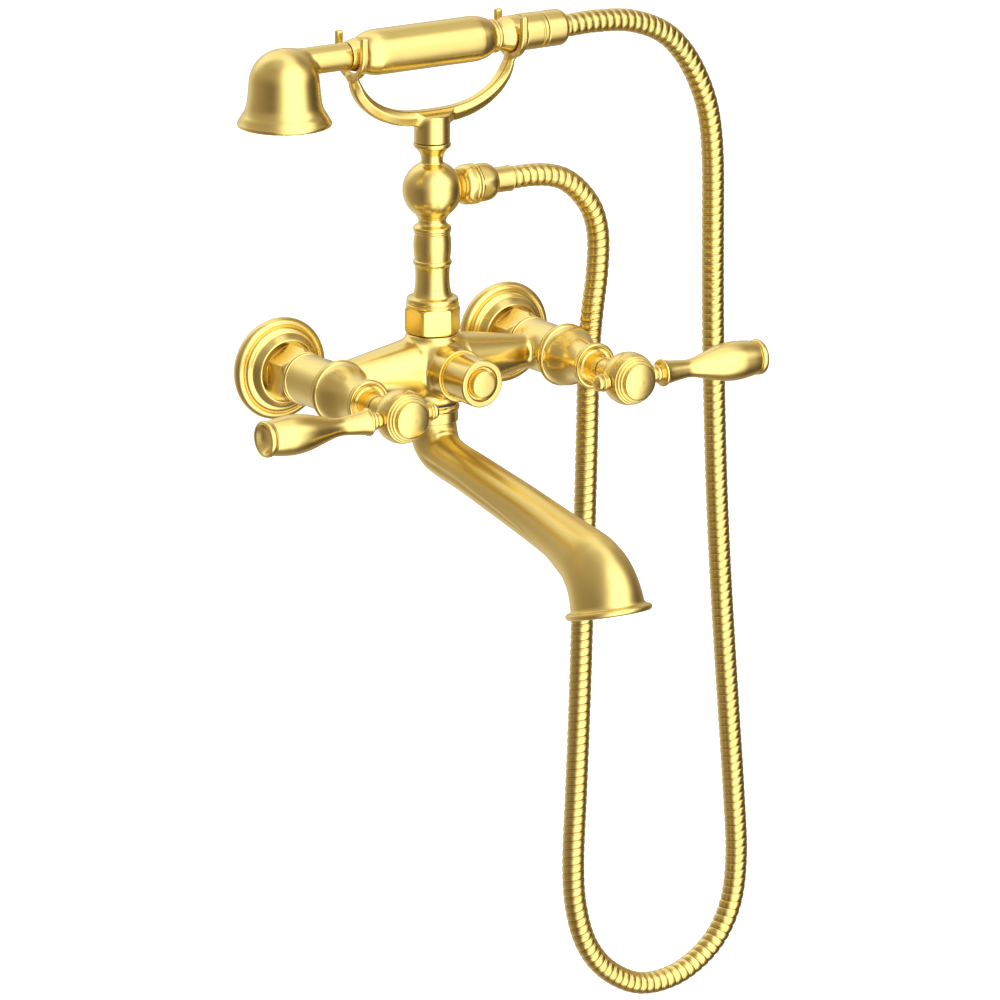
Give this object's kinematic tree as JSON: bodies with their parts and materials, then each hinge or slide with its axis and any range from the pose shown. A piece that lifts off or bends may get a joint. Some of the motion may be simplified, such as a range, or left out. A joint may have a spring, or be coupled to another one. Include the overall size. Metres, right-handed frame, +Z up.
{
  "type": "wall mounted bath shower mixer",
  "caption": "Wall mounted bath mixer with lever valves, a swivelling spout, a diverter button, and a telephone handset on a cradle with a metal hose.",
  "frame": {"origin": "On the wall plane, midway between the two water inlets.", "axes": "+X to the right along the wall, seen from the room; +Y into the wall; +Z up."},
  "size_m": [0.4578, 0.2934, 0.7154],
  "materials": {
    "satin_gold": "fine brushed satin gold plating",
    "hose_gold": "spiral-wound metal strip, satin gold plating",
    "plain_brass": "as machined",
    "bright_steel": "turned stainless steel",
    "rubber": "matte",
    "white_plastic": "smooth moulded",
    "black_plastic": "smooth moulded"
  },
  "bodies": {
    "mixer": {"wall_flange_left": "satin_gold", "wall_flange_right": "satin_gold", "inlet_nut_left": "satin_gold", "inlet_nut_right": "satin_gold", "inlet_washers": "rubber", "body_casting": "satin_gold", "valve_bell_left": "satin_gold", "valve_bell_right": "satin_gold", "cartridge_left": "plain_brass", "cartridge_right": "plain_brass", "bonnet_left": "satin_gold", "bonnet_right": "satin_gold", "diverter_cap": "satin_gold", "diverter_spring": "bright_steel", "spout_slip_ring": "black_plastic", "riser_washer": "rubber", "riser_nut": "satin_gold", "riser_column": "satin_gold", "hose_adaptor": "satin_gold", "hose_washer": "rubber", "hose_nut": "satin_gold", "hose_ferrule": "satin_gold", "hose": "hose_gold", "cradle": "satin_gold", "cradle_stud": "bright_steel"},
    "left_handle": {"spindle_left": "bright_steel", "handle_ball_left": "satin_gold", "lever_left": "satin_gold", "finial_left": "satin_gold", "handle_screw_left": "bright_steel", "handle_cap_left": "satin_gold"},
    "right_handle": {"spindle_right": "bright_steel", "handle_ball_right": "satin_gold", "lever_right": "satin_gold", "finial_right": "satin_gold", "handle_screw_right": "bright_steel", "handle_cap_right": "satin_gold"},
    "diverter": {"diverter_button": "satin_gold", "diverter_stem": "bright_steel", "diverter_seal": "rubber"},
    "spout_body": {"spout": "satin_gold", "spout_tail": "satin_gold", "spout_orings": "rubber", "aerator": "bright_steel"},
    "handset": {"handset_head": "satin_gold", "spray_face": "white_plastic", "front_collar": "satin_gold", "handset_pipe": "bright_steel", "grip": "satin_gold", "rear_collar": "satin_gold", "handset_connector": "satin_gold"},
    "hose_end": {"hose_swivel": "satin_gold"}
  },
  "joints": [
    {"name": "left_handle_turn", "type": "hinge", "parent": "mixer", "child": "left_handle", "pos_m": [-0.09, -0.156, 0], "axis": [0, 1, 0], "range_deg": [0, 90]},
    {"name": "right_handle_turn", "type": "hinge", "parent": "mixer", "child": "right_handle", "pos_m": [0.09, -0.156, 0], "axis": [0, -1, 0], "range_deg": [0, 90]},
    {"name": "spout_swivel", "type": "hinge", "parent": "mixer", "child": "spout_body", "pos_m": [0, -0.054, -0.0255], "axis": [0, 0, 1], "range_deg": [-60, 60]},
    {"name": "diverter_push", "type": "slide", "parent": "mixer", "child": "diverter", "axis": [0, 1, 0], "range_m": [0, 0.0035], "stiffness_N_per_m": 800, "deforming": ["diverter_spring"]},
    {"name": "handset_lift", "type": "slide", "parent": "mixer", "child": "handset", "axis": [0, 0, 1], "range_m": [0, 0.04]},
    {"name": "hose_end_swivel", "type": "hinge", "parent": "handset", "child": "hose_end", "pos_m": [0.092, -0.054, 0.22], "axis": [1, 0, 0], "continuous": true}
  ]
}
